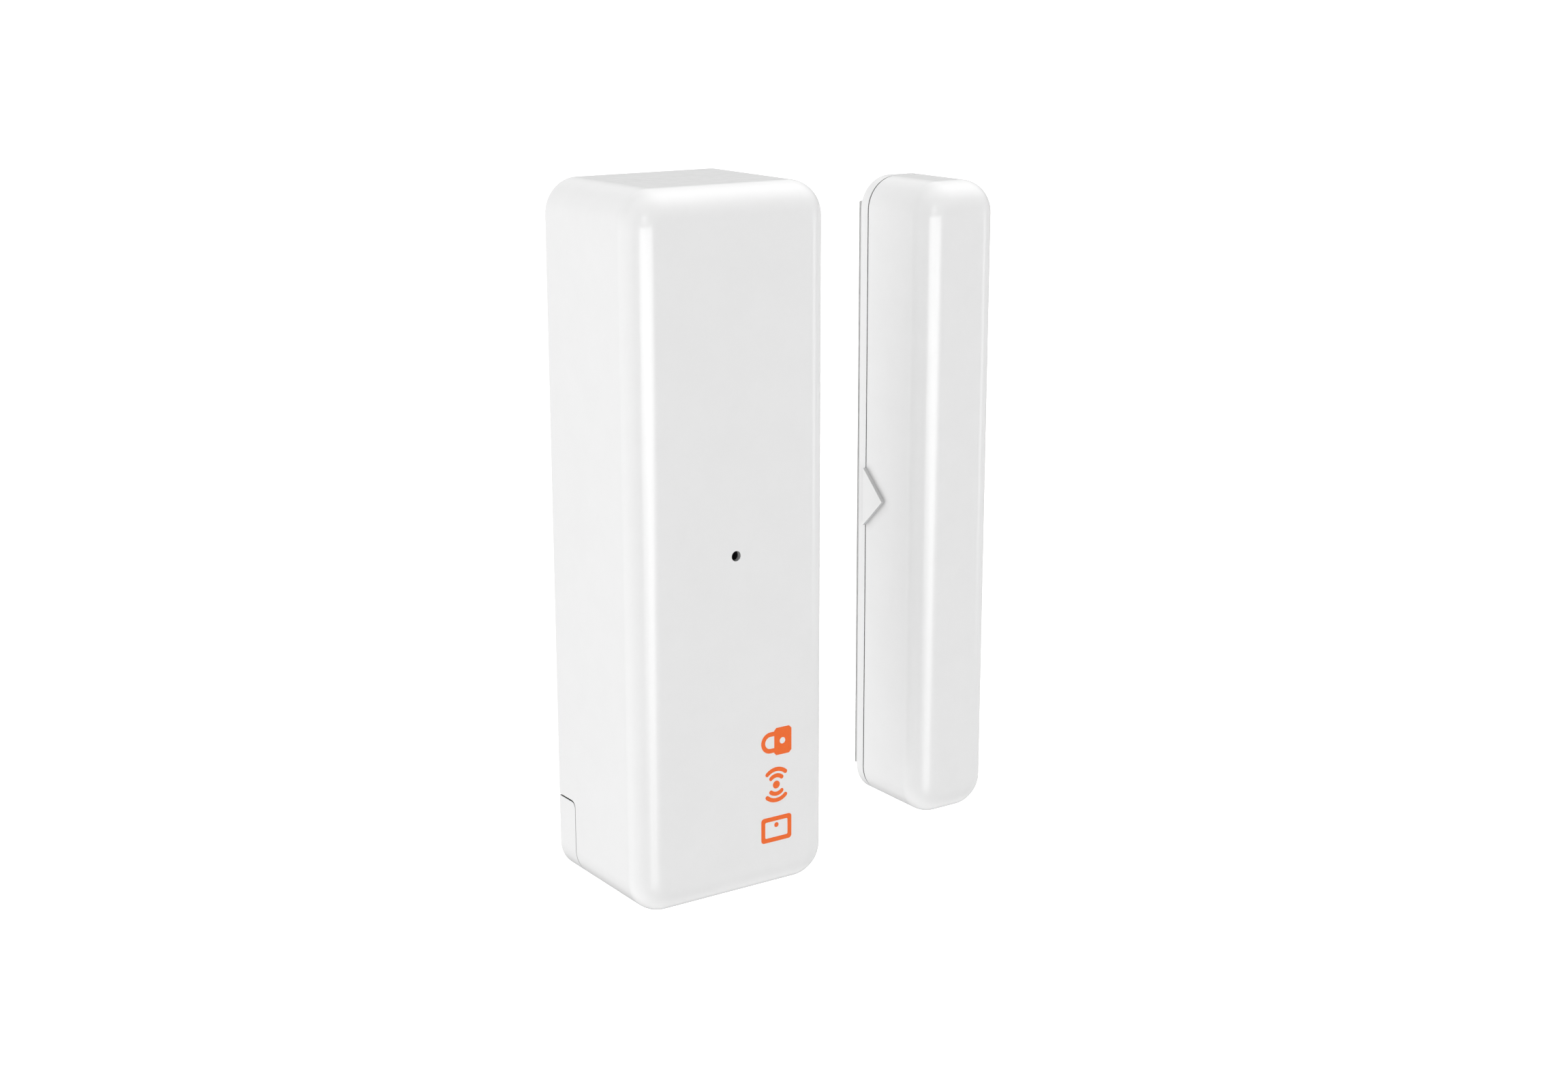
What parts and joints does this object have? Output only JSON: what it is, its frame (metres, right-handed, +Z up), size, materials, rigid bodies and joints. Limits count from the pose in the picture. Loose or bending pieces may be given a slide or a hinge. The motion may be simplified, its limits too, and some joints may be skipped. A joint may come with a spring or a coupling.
{
  "type": "door contact sensor",
  "caption": "Two-piece wireless door contact sensor: slim box with a reed switch on a slide-off wall plate, and a narrower magnet unit beside it.",
  "frame": {"origin": "centre of the sensor unit's adhesive rear face, on the wall plane", "axes": "+Z up along the unit's height, +Y into the wall (the covers face -Y), +X from the sensor unit towards the magnet unit"},
  "size_m": [0.0481, 0.0174, 0.072],
  "materials": {
    "white_plastic": "semi-gloss moulded ABS",
    "adhesive_foam": "closed-cell foam tape",
    "board_laminate": "solder mask over glass-epoxy",
    "plated_steel": "zinc plated",
    "led_resin": "clear yellowish resin",
    "black_plastic": "matte",
    "contact_spring_steel": "nickel plated",
    "cell_steel": "nickel plated",
    "cell_sleeve": "shrink sleeve",
    "reed_glass": "clear",
    "reed_alloy": "gold-flashed nickel iron",
    "chip_resin": "moulded epoxy",
    "tinned_copper": "tin plated",
    "ceramic_white": "ceramic with plated lid",
    "resistor_ceramic": "glazed, tinned ends",
    "capacitor_ceramic": "sintered ceramic, tinned ends",
    "capacitor_aluminium": "sleeveless can",
    "coil_copper": "enamelled copper",
    "magnet_ferrite": "sintered ferrite"
  },
  "bodies": {
    "wall_plate": {"wall_plate": "white_plastic", "sensor_adhesive_pad": "adhesive_foam"},
    "sensor_body": {"front_cover": "white_plastic", "circuit_board": "board_laminate", "board_screws": "plated_steel", "status_led": "led_resin", "battery_rails": "black_plastic", "positive_contact": "contact_spring_steel", "negative_contact": "contact_spring_steel", "battery_spring": "contact_spring_steel", "reed_glass": "reed_glass", "reed_lead_lower": "reed_alloy", "reed_lead_upper": "reed_alloy", "radio_chip": "chip_resin", "radio_chip_legs": "tinned_copper", "crystal_can": "cell_steel", "saw_filter": "ceramic_white", "voltage_regulator": "chip_resin", "smd_resistors": "resistor_ceramic", "smd_capacitors": "capacitor_ceramic", "storage_capacitor": "capacitor_aluminium", "antenna_coil": "coil_copper"},
    "battery": {"battery_can": "cell_steel", "battery_sleeve": "cell_sleeve"},
    "reed_blade": {"reed_blade": "reed_alloy"},
    "magnet_base": {"magnet_base": "white_plastic", "magnet_adhesive_pad": "adhesive_foam", "bar_magnet": "magnet_ferrite"},
    "magnet_cover": {"magnet_cover": "white_plastic"}
  },
  "joints": [
    {"name": "magnet_gap", "type": "slide", "parent": "wall_plate", "child": "magnet_base", "axis": [1, 0, 0], "range_m": [0, 0.06]},
    {"name": "sensor_body_slide", "type": "slide", "parent": "wall_plate", "child": "sensor_body", "axis": [0, 0, 1], "range_m": [0, 0.075]},
    {"name": "magnet_cover_pull", "type": "slide", "parent": "magnet_base", "child": "magnet_cover", "axis": [0, -1, 0], "range_m": [0, 0.02]},
    {"name": "battery_press", "type": "slide", "parent": "sensor_body", "child": "battery", "axis": [0, 0, -1], "range_m": [0, 0.0015], "stiffness_N_per_m": 400, "springref_m": -0.002, "deforming": ["battery_spring"]},
    {"name": "reed_blade_flex", "type": "hinge", "parent": "sensor_body", "child": "reed_blade", "pos_m": [0.007, -0.01233, 0.0049], "axis": [1, 0, 0], "range_deg": [0, 1.1]}
  ],
  "couplings": [
    {"joint": "reed_blade_flex", "follows": "magnet_gap", "rad_per_m": 0.3}
  ]
}
